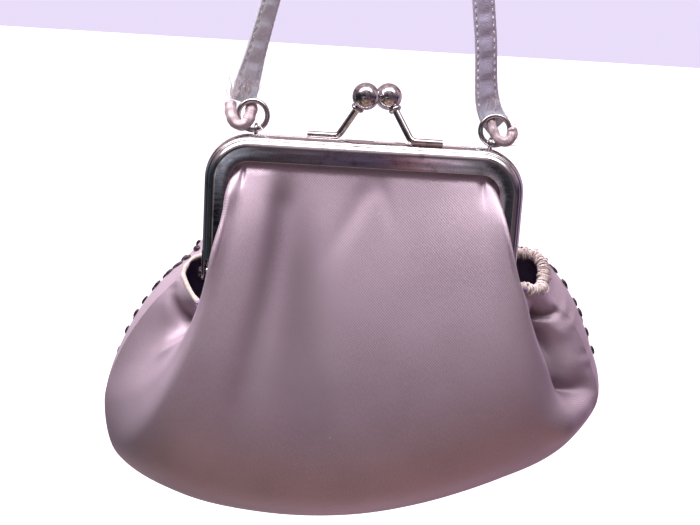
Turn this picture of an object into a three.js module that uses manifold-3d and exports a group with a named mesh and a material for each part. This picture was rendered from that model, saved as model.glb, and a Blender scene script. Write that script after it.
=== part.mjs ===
// A small satin evening purse on a kiss-lock frame, hanging by its strap.
// Millimetres, +Z up, +X along the frame, the plain front of the bag facing -Y.
// The pieces are drawn with z = 0 at the top of the frame and y = 0 between its two halves.
// The whole purse is then moved so that the origin is the underside of the strap's top, where it hangs.

import * as THREE from "three";
import { mergeVertices } from "three/addons/utils/BufferGeometryUtils.js";
import Module from "manifold-3d";

// A side of the parting plane is the sign of y there, an end of the frame the sign of x.
const frontSide = -1;
const backSide = 1;
const leftEnd = -1;
const rightEnd = 1;
const fitGap = 0.3; // clearance between pieces that touch
const discSides = 16;
const boreSides = 12;

// Frame: two channels bent to an inverted U, open towards the inside of the U
const frameHalfWidth = 50;
const frameCornerRadius = 14;
const frameCornerSteps = 8;
const legEndZ = -40;
const channelSection = table(
  ["inward", "depth"], // from the outline of the U, and from the parting plane
  [
    [8, 1.2],
    [1.1, 1.3],
    [1.1, 3.1],
    [2.2, 4.2],
    [8, 4.3],
    [8, 5.2],
    [4.5, 5.4],
    [2.6, 5.1],
    [1.3, 4.5],
    [0.4, 3.5],
    [0, 2.2],
    [0, 0.9],
    [0.8, 0.25],
    [8, 0.25],
  ],
);

// Hinge: an ear below each leg, lapped on a rivet along X
const hingeZ = -45;
const earRadius = 3;
const earThickness = 1;
const earLapGap = 0.4;
const earTongue = { near: 1, far: 3, top: 3 }; // depth range, and how far it runs up the leg
const rivetRadius = 1;
const rivetHeadRadius = 1.8;
const rivetHeadThickness = 0.7;

// Clasp: two balls on bent arms that cross over the parting plane
const claspX = 2.3;
const ballRadius = 4.2;
const ballSteps = [18, 12]; // round the ball, and from pole to pole
const ballZ = 13.9;
const ballHalfSpacing = 3.6;
const ballDepth = 2.75; // from the parting plane
const armRadius = 1.1;
const armDepth = 2.4; // line of the arm's foot on the top of its half
const armSink = 0.3; // how far the foot is soldered into the frame
const armFoot = 17.5; // from the ball's middle to the far end of the foot
const armBend = 7.8; // from the ball's middle to the bend
const armBendReach = 1.6; // length taken by the bend on each side
const armSteps = { steps: 14, curveSegments: 5 };
const collarRadius = 2.1;
const collarThickness = 1;

// Rings in soldered eyes on the back half
const ringRadius = 4.6;
const ringWire = 0.8;
const ringSteps = [8, 20]; // round the wire, and round the ring
const ringDepth = 2.6;
const ringX = { [leftEnd]: -36.1, [rightEnd]: 40 };
const eyeLean = 1.2; // how far the eye stands in from the ring's middle
const eyeRadius = 1.75;
const eyeWire = 0.5;
const eyeSteps = [6, 14];
const eyeRise = 1.25; // above the outline of the frame

// Strap: a flat satin band, its ends rolled round the rings, hanging on a hook at its top
const strapWidth = 7;
const strapThickness = 1.8;
const strapTopX = 6.4;
const strapTopZ = 177; // underside of the top
const strapOverRing = { [leftEnd]: -39.4, [rightEnd]: 38.2 }; // where it passes behind the ring's top
const strapArch = { radius: 6.5, lean: 12, steps: 10 }; // lean of the legs in degrees
const strapLegSteps = 20;
const strapLegCrowding = 1.5; // steps are closer by the ring
const strapRise = { aboveRing: 1, lowShare: 0.15, highShare: 0.6, lowDepth: 0.6 }; // the way up from a ring
const rollRadius = 2.4; // outside of the rolled cloth, from the ring's wire
const rollBore = 1.15;
const rollSteps = { steps: 5, curveSegments: 6 };
// Where the roll sits on the ring, in degrees below its level.
const rollArc = { [leftEnd]: { from: -30, to: 35 }, [rightEnd]: { from: -15, to: 50 } };
const rollStops = [0, 0.25, 0.5, 0.75, 1];
const strapLeg = table(
  ["along", "width", "leftTurn", "rightTurn"], // share of the leg, degrees turned from facing the front
  [
    [0, 8.4, 0, 0],
    [0.05, 8, 5, 0],
    [0.12, 7, 28, 0],
    [0.3, 7, 44, 4],
    [0.6, 7, 68, 50],
    [0.85, 7, 88, 86],
    [1, 7, 90, 90],
  ],
);

// Satin panels: fibres that run from the frame's channel over the belly to the seam
const satinThickness = 1.4;
const panelColumns = 44;
const fibreSteps = 13;
const fibreCrowding = 1.2; // steps are closer by the frame
const fibreShares = Array.from({ length: fibreSteps + 1 }, (_, j) => (j / fibreSteps) ** fibreCrowding);
const seamGrip = 6; // how late along the fibre the seam holds the cloth against a dent
const frameGrip = 0.14; // share of the fibre that the frame holds against it
const middleReach = 20; // out and inset fade towards the middle of the bag
const tuckInward = 5; // where the cloth ends in the channel
const exitInward = 9; // where it leaves the channel
const satinDepth = 3.4; // outer face in the channel, from the parting plane
const seamDepth = 0.15; // half of the gap between the panels at the seam
const seam = table(
  ["u", "x", "z"], // u runs along the frame from the left hinge to the right one
  [
    [0, -56.5, -46],
    [0.085, -67, -58],
    [0.169, -76.5, -74.5],
    [0.215, -80.5, -90],
    [0.262, -76, -108],
    [0.34, -54, -121],
    [0.42, -27, -126],
    [0.5, 0, -125.5],
    [0.58, 25, -120],
    [0.66, 50, -110],
    [0.738, 70, -98],
    [0.785, 80.5, -82],
    [0.831, 78, -70],
    [0.915, 70.5, -55],
    [1, 60, -43.5],
  ],
);
// Each fibre leaves the frame by out, chest and drop, and reaches the seam from inset, belly and lift.
const fibreColumns = ["u", "out", "chest", "drop", "inset", "belly", "lift"];
const frontFibres = table(fibreColumns, [
  [0, 4, 14, 18, 6, 12, -9],
  [0.085, 4, 20, 18, 21, 8, -6],
  [0.169, 3, 23, 21, 27, 12, -3],
  [0.215, 2, 20, 28, 26, 22, 4],
  [0.262, 1, 16, 36, 16, 33, 14],
  [0.34, 0, 13, 40, 5, 37, 17],
  [0.5, 0, 11, 42, 0, 38, 18],
  [0.66, 0, 13, 40, 5, 37, 17],
  [0.738, 2, 16, 36, 14, 33, 14],
  [0.785, 6, 21, 28, 24, 22, 4],
  [0.831, 7, 26, 20, 22, 12, -3],
  [0.915, 9, 20, 10, 14, 8, -4],
  [1, 8, 16, 1, 2, 14, 0],
]);
const backFibres = table(fibreColumns, [
  [0, 4, 10, 2, 0, 10, 8],
  [0.085, 1, 14, 9, -3, 16, 9],
  [0.169, 0, 20, 18, -2, 20, 12],
  [0.215, 0, 20, 28, -2, 24, 14],
  [0.262, 0, 16, 34, 0, 30, 16],
  [0.34, 0, 13, 40, 5, 37, 17],
  [0.5, 0, 11, 42, 0, 38, 18],
  [0.66, 0, 13, 40, 5, 37, 17],
  [0.738, 0, 16, 34, 0, 30, 16],
  [0.785, 0, 20, 28, -8, 24, 14],
  [0.831, 0, 20, 16, -6, 20, 16],
  [0.915, 2, 14, 4, -6, 16, 15],
  [1, 3, 12, -5, -6, 12, 16],
]);
// Folds sink by depth about a line that starts at u and drifts, between two shares of the fibre.
const foldColumns = ["u", "drift", "spread", "depth", "from", "to"];
const frontFolds = table(foldColumns, [
  [0.25, 0, 0.016, 1.2, 0.05, 0.4],
  [0.365, -0.03, 0.028, 2.4, 0.06, 0.75],
  [0.535, 0, 0.03, 1.1, 0.08, 0.6],
  [0.745, 0, 0.016, 1.2, 0.05, 0.35],
]);
const backFolds = table(foldColumns, [
  [0.25, 0, 0.016, 1.2, 0.05, 0.4],
  [0.47, 0.02, 0.03, 1.6, 0.06, 0.7],
  [0.745, 0, 0.016, 1.2, 0.05, 0.4],
]);
// Dents in the sides of the front, drawn in below the hinges, and puffs at its upper corners.
const frontDents = table(
  ["u", "along", "spreadU", "spreadAlong", "depth"],
  [
    [0.1, 0.72, 0.06, 0.17, 6.5],
    [0.9, 0.72, 0.06, 0.17, 6],
    [0.175, 0.1, 0.045, 0.08, -1.6],
    [0.83, 0.13, 0.05, 0.1, -3.6],
  ],
);

const satin = new THREE.MeshStandardMaterial({ color: 0x9c8696, roughness: 0.45, metalness: 0 });
const chrome = new THREE.MeshStandardMaterial({ color: 0xb4acb0, roughness: 0.15, metalness: 1 });

const wasm = await Module();
wasm.setup();

// Rows of numbers as objects with named columns.
function table(columns, rows) {
  return rows.map((row) => Object.fromEntries(columns.map((name, i) => [name, row[i]])));
}

// Smooth value of a column between the rows, whose first column sets the place.
function sample(rows, place, column, at) {
  const slope = (i) => {
    const low = rows[Math.max(i - 1, 0)];
    const high = rows[Math.min(i + 1, rows.length - 1)];
    return (high[column] - low[column]) / (high[place] - low[place]);
  };
  let i = 0;
  while (i < rows.length - 2 && at > rows[i + 1][place]) i++;
  const span = rows[i + 1][place] - rows[i][place];
  const t = (at - rows[i][place]) / span;
  const rise = t * t * (3 - 2 * t);
  return (
    rows[i][column] * (1 - rise) +
    rows[i + 1][column] * rise +
    span * t * (1 - t) * (slope(i) * (1 - t) - slope(i + 1) * t)
  );
}

// Closed geometry from points and triangles, turned so that its faces point out.
function closedGeometry(points, triangles) {
  const volume = triangles.reduce((sum, [a, b, c]) => {
    return sum + points[a].dot(new THREE.Vector3().crossVectors(points[b], points[c]));
  }, 0);
  const order = volume > 0 ? [0, 1, 2] : [0, 2, 1];
  const geometry = new THREE.BufferGeometry().setFromPoints(points);
  geometry.setIndex(triangles.flatMap((corners) => order.map((k) => corners[k])));
  return geometry;
}

// Solid through rings of points, its two ends closed by the triangles of the section.
function loft(rings, section) {
  const count = section.length;
  const caps = THREE.ShapeUtils.triangulateShape(section, []);
  const last = (rings.length - 1) * count;
  const triangles = caps.flatMap(([a, b, c]) => [
    [a, c, b],
    [last + a, last + b, last + c],
  ]);
  for (let i = 0; i < rings.length - 1; i++) {
    for (let k = 0; k < count; k++) {
      const a = i * count + k;
      const b = i * count + ((k + 1) % count);
      triangles.push([a, b, b + count], [a, b + count, a + count]);
    }
  }
  return closedGeometry(rings.flat(), triangles);
}

function solidOf(geometry) {
  const bare = geometry.clone();
  bare.deleteAttribute("normal");
  bare.deleteAttribute("uv");
  const merged = mergeVertices(bare, 1e-4);
  const vertProperties = new Float32Array(merged.attributes.position.array);
  const triVerts = new Uint32Array(merged.index.array);
  return new wasm.Manifold(new wasm.Mesh({ numProp: 3, vertProperties, triVerts }));
}

function geometryOf(solid) {
  const { vertProperties, triVerts } = solid.getMesh();
  const geometry = new THREE.BufferGeometry();
  geometry.setAttribute("position", new THREE.BufferAttribute(vertProperties, 3));
  return geometry.setIndex(new THREE.BufferAttribute(triVerts, 1));
}

function join(geometries) {
  return geometryOf(geometries.map(solidOf).reduce((sum, next) => sum.add(next)));
}

function cut(geometry, tools) {
  return geometryOf(tools.map(solidOf).reduce((rest, tool) => rest.subtract(tool), solidOf(geometry)));
}

// Place on the U of the frame, inward from its outline; u is a share of the line of the tucked cloth.
const tuckRadius = frameCornerRadius - tuckInward;
const legLength = -frameCornerRadius - legEndZ;
const bendLength = (tuckRadius * Math.PI) / 2;
const topLength = 2 * (frameHalfWidth - frameCornerRadius);
const rimLength = 2 * (legLength + bendLength) + topLength;

function rimPoint(u, inward) {
  const end = u < 0.5 ? leftEnd : rightEnd;
  const along = Math.min(u, 1 - u) * rimLength; // from the nearer hinge
  const bendX = frameHalfWidth - frameCornerRadius;
  const angle = THREE.MathUtils.clamp((along - legLength) / tuckRadius, 0, Math.PI / 2);
  const reach = frameCornerRadius - inward;
  const overTop = Math.max(along - legLength - bendLength, 0);
  const upLeg = Math.min(along, legLength);
  return {
    x: end * (bendX + reach * Math.cos(angle) - overTop),
    z: legEndZ + upLeg + reach * Math.sin(angle),
  };
}

function channelGeometry(side) {
  const bendStart = legLength / rimLength;
  const bendEnd = (legLength + bendLength) / rimLength;
  const halfRim = [0];
  for (let i = 0; i <= frameCornerSteps; i++) {
    halfRim.push(THREE.MathUtils.lerp(bendStart, bendEnd, i / frameCornerSteps));
  }
  const stations = [...halfRim, ...halfRim.map((u) => 1 - u).reverse()];
  const rings = stations.map((u) =>
    channelSection.map(({ inward, depth }) => {
      const { x, z } = rimPoint(u, inward);
      return new THREE.Vector3(x, side * depth, z);
    }),
  );
  return loft(rings, channelSection.map(({ inward, depth }) => new THREE.Vector2(inward, depth)));
}

function boxBetween(x, y, z) {
  const size = [x, y, z].map(([low, high]) => high - low);
  const middle = [x, y, z].map(([low, high]) => (low + high) / 2);
  return new THREE.BoxGeometry(...size).translate(...middle);
}

function cylinderAlongX(radius, [low, high], z, sides) {
  const geometry = new THREE.CylinderGeometry(radius, radius, high - low, sides);
  return geometry.rotateZ(Math.PI / 2).translate((low + high) / 2, 0, z);
}

const inOrder = (low, high) => [Math.min(low, high), Math.max(low, high)];

// Ear of a half at one end: a disc, its tongue to the leg and a block that joins it to the wall.
function earOuterX(side) {
  return frameHalfWidth - (side === frontSide ? 0 : earThickness + earLapGap);
}

function earPieces(side, end) {
  const outer = earOuterX(side);
  const x = inOrder(end * outer, end * (outer - earThickness));
  const y = inOrder(side * earTongue.near, side * earTongue.far);
  const blockX = inOrder(end * (frameHalfWidth - earThickness / 2), end * (outer - earThickness));
  return [
    cylinderAlongX(earRadius, x, hingeZ, discSides),
    boxBetween(x, y, [hingeZ, legEndZ + earTongue.top]),
    boxBetween(blockX, y, [legEndZ, legEndZ + earTongue.top]),
  ];
}

// The left ball belongs to the back half and stands in front, the right one the other way round.
function ballCentre(end) {
  return new THREE.Vector3(claspX + end * ballHalfSpacing, end * ballDepth, ballZ);
}

function armPieces(end) {
  const ball = ballCentre(end);
  const footZ = armRadius - armSink;
  const foot = new THREE.Vector3(ball.x + end * armFoot, -end * armDepth, footZ);
  const bend = new THREE.Vector3(ball.x + end * armBend, -end * armDepth, footZ);
  const rise = ball.clone().sub(bend).normalize();
  const tip = ball.clone().addScaledVector(rise, -ballRadius);
  const beforeBend = bend.clone().add(new THREE.Vector3(end * armBendReach, 0, 0));
  const afterBend = bend.clone().addScaledVector(rise, armBendReach);
  const path = new THREE.CurvePath();
  path.add(new THREE.LineCurve3(foot, beforeBend));
  path.add(new THREE.QuadraticBezierCurve3(beforeBend, bend, afterBend));
  path.add(new THREE.LineCurve3(afterBend, tip));
  const section = new THREE.Shape().absarc(0, 0, armRadius, 0, 2 * Math.PI);
  const arm = new THREE.ExtrudeGeometry(section, { ...armSteps, extrudePath: path });
  const collar = new THREE.CylinderGeometry(collarRadius, collarRadius, collarThickness, discSides);
  const upright = new THREE.Vector3(0, 1, 0);
  collar.applyQuaternion(new THREE.Quaternion().setFromUnitVectors(upright, rise));
  collar.translate(...tip);
  return [arm, collar];
}

// The eye stands on the outline of the frame, and its ring leans outwards in it.
function eyeCentre(end) {
  const x = ringX[end] - end * eyeLean;
  const pastCorner = Math.max(Math.abs(x) - frameHalfWidth + frameCornerRadius, 0);
  const outlineZ = Math.sqrt(frameCornerRadius ** 2 - pastCorner ** 2) - frameCornerRadius;
  return new THREE.Vector3(x, ringDepth, outlineZ + eyeRise);
}

function ringCentre(end) {
  const rise = Math.sqrt(ringRadius ** 2 - eyeLean ** 2);
  return eyeCentre(end).add(new THREE.Vector3(end * eyeLean, 0, rise));
}

function eyeGeometry(end) {
  const eye = new THREE.TorusGeometry(eyeRadius, eyeWire, ...eyeSteps).rotateY(Math.PI / 2);
  return eye.translate(...eyeCentre(end));
}

function frameHalfGeometry(side) {
  const claspEnd = -side; // the left arm stands on the back half
  const pieces = [channelGeometry(side), ...armPieces(claspEnd)];
  [leftEnd, rightEnd].forEach((end) => pieces.push(...earPieces(side, end)));
  if (side === backSide) pieces.push(eyeGeometry(leftEnd), eyeGeometry(rightEnd));
  const rivetBore = rivetRadius + fitGap;
  const bores = [leftEnd, rightEnd].map((end) => {
    const outer = earOuterX(side);
    const x = inOrder(end * (outer + fitGap), end * (outer - earThickness - fitGap));
    return cylinderAlongX(rivetBore, x, hingeZ, boreSides);
  });
  const seat = ballCentre(claspEnd);
  const ballSeat = new THREE.SphereGeometry(ballRadius + fitGap, ...ballSteps).translate(...seat);
  return cut(join(pieces), [...bores, ballSeat]);
}

function rivetGeometry(end) {
  const outer = earOuterX(frontSide) + fitGap;
  const inner = earOuterX(backSide) - earThickness - fitGap;
  const outerEnd = outer + rivetHeadThickness;
  const innerEnd = inner - rivetHeadThickness;
  const span = (low, high) => inOrder(end * low, end * high);
  return join([
    cylinderAlongX(rivetRadius, span(innerEnd, outerEnd), hingeZ, boreSides),
    cylinderAlongX(rivetHeadRadius, span(outer, outerEnd), hingeZ, discSides),
    cylinderAlongX(rivetHeadRadius, span(innerEnd, inner), hingeZ, discSides),
  ]);
}

// How far a fold sinks the satin at a place.
function foldDepth(folds, u, along) {
  return folds.reduce((sum, { u: start, drift, spread, depth, from, to }) => {
    const across = Math.exp(-(((u - start - drift * along) / spread) ** 2));
    const fadeIn = THREE.MathUtils.smoothstep(along, 0, from);
    const fadeOut = 1 - THREE.MathUtils.smoothstep(along, from, to);
    return sum + depth * across * fadeIn * fadeOut;
  }, 0);
}

function dentDepth(dents, u, along) {
  return dents.reduce((sum, dent) => {
    const across = Math.exp(-(((u - dent.u) / dent.spreadU) ** 2));
    return sum + dent.depth * across * Math.exp(-(((along - dent.along) / dent.spreadAlong) ** 2));
  }, 0);
}

function panelGeometry(side, fibres, folds, dents) {
  const grid = [];
  for (let i = 0; i <= panelColumns; i++) {
    const u = i / panelColumns;
    const at = (column) => sample(fibres, "u", column, u);
    const tuck = rimPoint(u, tuckInward);
    const exit = rimPoint(u, exitInward);
    const seamX = sample(seam, "u", "x", u);
    const end = new THREE.Vector3(seamX, side * seamDepth, sample(seam, "u", "z", u));
    const towardsMiddle = -Math.sign(seamX) * Math.min(Math.abs(seamX) / middleReach, 1);
    const start = new THREE.Vector3(exit.x, side * satinDepth, exit.z);
    const leaving = new THREE.Vector3(-towardsMiddle * at("out"), side * at("chest"), -at("drop"));
    const arriving = new THREE.Vector3(towardsMiddle * at("inset"), side * at("belly"), at("lift"));
    leaving.add(start);
    arriving.add(end);
    const fibre = new THREE.CubicBezierCurve3(start, leaving, arriving, end);
    const tucked = new THREE.Vector3(tuck.x, side * satinDepth, tuck.z);
    grid.push([tucked, ...fibreShares.map((share) => fibre.getPoint(share))]);
  }

  const rows = fibreSteps + 2;
  const normalAt = (i, j) => {
    if (j < 2) return new THREE.Vector3(0, side, 0);
    const acrossU = grid[Math.min(i + 1, panelColumns)][j].clone().sub(grid[Math.max(i - 1, 0)][j]);
    const alongV = grid[i][Math.min(j + 1, rows - 1)].clone().sub(grid[i][j - 1]);
    return acrossU.cross(alongV).multiplyScalar(side).normalize();
  };
  const outside = (point) => {
    point.y = side * Math.max(side * point.y, seamDepth);
    return point;
  };
  const outer = grid.map((column, i) =>
    column.map((point, j) => {
      const along = fibreShares[Math.max(j - 1, 0)];
      const loose = (1 - along ** seamGrip) * THREE.MathUtils.smoothstep(along, 0, frameGrip);
      const u = i / panelColumns;
      const sink = foldDepth(folds, u, along) + dentDepth(dents, u, along) * loose;
      return outside(point.clone().addScaledVector(normalAt(i, j), -sink));
    }),
  );
  const inner = outer.map((column, i) =>
    column.map((point, j) => outside(point.clone().addScaledVector(normalAt(i, j), -satinThickness))),
  );

  const points = [...outer.flat(), ...inner.flat()];
  const layer = outer.length * rows;
  const index = (i, j) => i * rows + j;
  const triangles = [];
  const quad = (a, b, c, d) => triangles.push([a, b, c], [a, c, d]);
  for (let i = 0; i < panelColumns; i++) {
    for (let j = 0; j < rows - 1; j++) {
      const corners = [index(i, j), index(i + 1, j), index(i + 1, j + 1), index(i, j + 1)];
      quad(...corners);
      quad(...corners.map((corner) => corner + layer).reverse());
    }
  }
  const edge = [];
  for (let i = 0; i < panelColumns; i++) edge.push(index(i, 0));
  for (let j = 0; j < rows - 1; j++) edge.push(index(panelColumns, j));
  for (let i = panelColumns; i > 0; i--) edge.push(index(i, rows - 1));
  for (let j = rows - 1; j > 0; j--) edge.push(index(0, j));
  edge.forEach((a, k) => {
    const b = edge[(k + 1) % edge.length];
    quad(b, a, a + layer, b + layer);
  });
  return closedGeometry(points, triangles);
}

function ringGeometry(end) {
  const ring = new THREE.TorusGeometry(ringRadius, ringWire, ...ringSteps).rotateX(Math.PI / 2);
  return ring.translate(...ringCentre(end));
}

// The end of the strap rolled round the outer wire of a ring, at degrees below the ring's level.
function wirePoint(end, degrees) {
  const turn = THREE.MathUtils.degToRad(degrees);
  const outwards = new THREE.Vector3(end * Math.cos(turn), 0, -Math.sin(turn));
  return ringCentre(end).addScaledVector(outwards, ringRadius);
}

function rollGeometry(end) {
  const { from, to } = rollArc[end];
  const stops = rollStops.map((share) => wirePoint(end, THREE.MathUtils.lerp(from, to, share)));
  const section = new THREE.Shape().absarc(0, 0, rollRadius, 0, 2 * Math.PI);
  section.holes.push(new THREE.Path().absarc(0, 0, rollBore, 0, 2 * Math.PI, true));
  const extrudePath = new THREE.CatmullRomCurve3(stops);
  return new THREE.ExtrudeGeometry(section, { ...rollSteps, extrudePath });
}

function strapGeometry() {
  const archZ = strapTopZ + strapThickness / 2 - strapArch.radius;
  const archPoint = (end, lean) => {
    const angle = THREE.MathUtils.degToRad(lean);
    const x = strapTopX + end * strapArch.radius * Math.cos(angle);
    return new THREE.Vector3(x, 0, archZ + strapArch.radius * Math.sin(angle));
  };
  const legRoute = (end) => {
    const foot = wirePoint(end, (rollArc[end].from + rollArc[end].to) / 2);
    foot.y += rollBore + strapThickness / 2;
    const behindRing = ringDepth + ringWire + fitGap + strapThickness / 2;
    const overRingZ = ringCentre(end).z + ringRadius + strapRise.aboveRing;
    const overRing = new THREE.Vector3(strapOverRing[end], behindRing, overRingZ);
    const top = archPoint(end, strapArch.lean);
    const low = overRing.clone().lerp(top, strapRise.lowShare);
    const high = overRing.clone().lerp(top, strapRise.highShare);
    low.y *= strapRise.lowDepth;
    high.y = 0;
    return new THREE.CatmullRomCurve3([foot, overRing, low, high, top], false, "centripetal");
  };

  const legStations = (end) => {
    const route = legRoute(end);
    const leg = [];
    for (let i = 0; i < strapLegSteps; i++) {
      const along = (i / strapLegSteps) ** strapLegCrowding;
      const direction = route.getTangentAt(along).multiplyScalar(-end);
      const width = sample(strapLeg, "along", "width", along);
      const turn = sample(strapLeg, "along", end === leftEnd ? "leftTurn" : "rightTurn", along);
      leg.push({ at: route.getPointAt(along), direction, width, turn });
    }
    return leg;
  };
  const stations = legStations(leftEnd);
  for (let i = 0; i <= strapArch.steps; i++) {
    const angle = THREE.MathUtils.lerp(180 - strapArch.lean, strapArch.lean, i / strapArch.steps);
    const turn = THREE.MathUtils.degToRad(angle);
    const direction = new THREE.Vector3(Math.sin(turn), 0, -Math.cos(turn));
    stations.push({ at: archPoint(rightEnd, angle), direction, width: strapWidth, turn: 90 });
  }
  stations.push(...legStations(rightEnd).reverse());

  const bevel = strapThickness / 4;
  const section = (width) => {
    const halfWidth = width / 2;
    const half = strapThickness / 2;
    const corner = [
      [halfWidth, half - bevel],
      [halfWidth - bevel, half],
    ];
    const upper = [...corner, ...corner.map(([x, y]) => [-x, y]).reverse()];
    return [...upper, ...upper.map(([x, y]) => [x, -y]).reverse()].map((xy) => new THREE.Vector2(...xy));
  };
  const rings = stations.map(({ at, direction, width, turn }) => {
    const angle = THREE.MathUtils.degToRad(turn);
    const across = new THREE.Vector3(Math.cos(angle), Math.sin(angle), 0);
    across.addScaledVector(direction, -across.dot(direction)).normalize();
    const facing = direction.clone().cross(across);
    const place = ({ x, y }) => at.clone().addScaledVector(across, x).addScaledVector(facing, y);
    return section(width).map(place);
  });
  return join([loft(rings, section(strapWidth)), rollGeometry(leftEnd), rollGeometry(rightEnd)]);
}

const purse = new THREE.Group();
purse.position.set(-strapTopX, 0, -strapTopZ);

function add(name, geometry, material) {
  const mesh = new THREE.Mesh(geometry, material);
  mesh.name = name;
  purse.add(mesh);
}

add("frame_front", frameHalfGeometry(frontSide), chrome);
add("frame_back", frameHalfGeometry(backSide), chrome);
add("panel_front", panelGeometry(frontSide, frontFibres, frontFolds, frontDents), satin);
add("panel_back", panelGeometry(backSide, backFibres, backFolds, []), satin);
add("strap", strapGeometry(), satin);
[leftEnd, rightEnd].forEach((end) => {
  const endName = end === leftEnd ? "left" : "right";
  const ball = new THREE.SphereGeometry(ballRadius, ...ballSteps).translate(...ballCentre(end));
  add("clasp_ball_" + endName, ball, chrome);
  add("hinge_rivet_" + endName, rivetGeometry(end), chrome);
  add("strap_ring_" + endName, ringGeometry(end), chrome);
});

const part = new THREE.Group();
part.add(purse);

export default part;
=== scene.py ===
import math

import bpy
import numpy as np
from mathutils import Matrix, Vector

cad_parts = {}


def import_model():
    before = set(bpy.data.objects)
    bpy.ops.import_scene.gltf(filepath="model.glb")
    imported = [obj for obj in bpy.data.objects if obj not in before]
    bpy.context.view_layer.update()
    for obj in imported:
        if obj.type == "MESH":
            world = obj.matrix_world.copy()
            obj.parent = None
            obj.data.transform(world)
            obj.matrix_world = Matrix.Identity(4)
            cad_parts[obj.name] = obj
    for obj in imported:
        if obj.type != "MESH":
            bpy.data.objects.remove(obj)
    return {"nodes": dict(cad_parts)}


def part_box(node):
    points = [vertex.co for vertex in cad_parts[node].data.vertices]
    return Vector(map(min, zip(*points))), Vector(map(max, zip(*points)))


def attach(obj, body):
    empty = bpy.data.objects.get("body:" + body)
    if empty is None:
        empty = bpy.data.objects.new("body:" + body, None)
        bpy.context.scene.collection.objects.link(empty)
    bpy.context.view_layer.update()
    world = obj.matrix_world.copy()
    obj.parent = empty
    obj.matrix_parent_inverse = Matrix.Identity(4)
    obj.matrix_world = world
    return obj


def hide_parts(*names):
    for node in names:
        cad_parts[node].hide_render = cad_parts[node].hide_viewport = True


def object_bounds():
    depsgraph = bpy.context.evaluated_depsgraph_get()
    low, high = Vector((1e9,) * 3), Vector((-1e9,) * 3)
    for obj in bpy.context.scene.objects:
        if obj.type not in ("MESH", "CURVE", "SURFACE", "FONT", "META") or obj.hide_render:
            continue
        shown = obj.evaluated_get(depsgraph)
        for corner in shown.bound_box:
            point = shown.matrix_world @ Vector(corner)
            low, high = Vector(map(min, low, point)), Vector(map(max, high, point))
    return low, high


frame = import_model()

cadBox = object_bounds()
mm = 0.001
front, back = -1, 1      # sides of the parting plane, by the sign of y
left, right = -1, 1      # ends of the frame, by the sign of x
endNames = {left: "left", right: "right"}

# The tables below are in millimetres, from the middle of the frame's top edge.
earDrop = 48             # the frame's lowest point, at its hinge ears
frameLow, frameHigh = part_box("frame_front")
frameTop = Vector(((frameLow.x + frameHigh.x) / 2, 0, frameLow.z + earDrop * mm))


def world(x, y, z):
    return frameTop + Vector((x, y, z)) * mm


def toWorld(points):
    return np.asarray(points) * mm + np.array(frameTop)


def startFresh():
    if bpy.context.object and bpy.context.object.mode != "OBJECT":
        bpy.ops.object.mode_set(mode="OBJECT")
    bpy.ops.object.select_all(action="DESELECT")


def selectOnly(*pieces):
    startFresh()
    for piece in pieces:
        piece.select_set(True)
    bpy.context.view_layer.objects.active = pieces[0]


def joinPieces(pieces):
    selectOnly(*pieces)
    bpy.ops.object.join()
    return bpy.context.object


def settle(piece):
    selectOnly(piece)
    bpy.ops.object.transform_apply(location=True, rotation=True, scale=True)
    return piece


def finishPiece(piece, name, slotName, *materials):
    settle(piece)
    piece.name = name
    piece.data.name = name
    for material in materials:
        piece.data.materials.append(material)
    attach(piece, "root")


def applyModifier(piece, kind, **settings):
    selectOnly(piece)
    bpy.ops.object.modifier_add(type=kind)
    modifier = piece.modifiers[-1]
    for key, value in settings.items():
        setattr(modifier, key, value)
    bpy.ops.object.modifier_apply(modifier=modifier.name)


def smoothByAngle(piece, degrees):
    selectOnly(piece)
    bpy.ops.object.shade_smooth_by_angle(angle=math.radians(degrees))


def editAll(piece):
    selectOnly(piece)
    bpy.ops.object.mode_set(mode="EDIT")
    bpy.ops.mesh.select_all(action="SELECT")


# Merges doubles and turns the faces outwards
def closeMesh(piece, gap, fillHoles=False):
    editAll(piece)
    bpy.ops.mesh.remove_doubles(threshold=gap * mm)
    if fillHoles:
        bpy.ops.mesh.fill_holes(sides=0)
    bpy.ops.mesh.normals_make_consistent(inside=False)
    bpy.ops.object.mode_set(mode="OBJECT")


def unit(vectors):
    return vectors / np.maximum(np.linalg.norm(vectors, axis=-1, keepdims=True), 1e-9)


# Length from the start of each line of points, along an axis of their grid
def runAlong(points, axis=0):
    steps = np.linalg.norm(np.diff(points, axis=axis), axis=-1)
    return np.insert(np.cumsum(steps, axis), 0, 0, axis)


def pointsAt(at, run, points):
    return np.stack([np.interp(at, run, points[:, k]) for k in range(3)], 1)


# Camera at the photograph's angle
view = {
    "azimuth": -1,
    "elevation": 11.8,
    "roll": 3.5,
    "distance": 350,
    "lookAt": (-3, 0, -39),
    "focalPixels": 1096,
    "pixelsAcross": 700,
    "sensor": 36,
    "clipStart": 0.01,       # metres
}


def addCamera():
    startFresh()
    a, e = math.radians(view["azimuth"]), math.radians(view["elevation"])
    towards = Vector((math.sin(a) * math.cos(e), -math.cos(a) * math.cos(e), math.sin(e)))
    bpy.ops.object.camera_add(location=world(*view["lookAt"]) + towards * view["distance"] * mm)
    camera = bpy.context.object
    camera.name = "photo_camera"
    camera.rotation_euler = towards.to_track_quat("Z", "Y").to_euler()
    camera.rotation_euler.rotate_axis("Z", math.radians(view["roll"]))
    camera.data.sensor_width = view["sensor"]
    camera.data.lens = view["focalPixels"] / view["pixelsAcross"] * view["sensor"]
    camera.data.clip_start = view["clipStart"]
    bpy.context.scene.camera = camera


addCamera()
print("camera placed")


# Materials
def newMaterial(name):
    material = bpy.data.materials.new(name)
    material.use_nodes = True
    tree = material.node_tree
    return material, tree, tree.nodes["Principled BSDF"]


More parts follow.
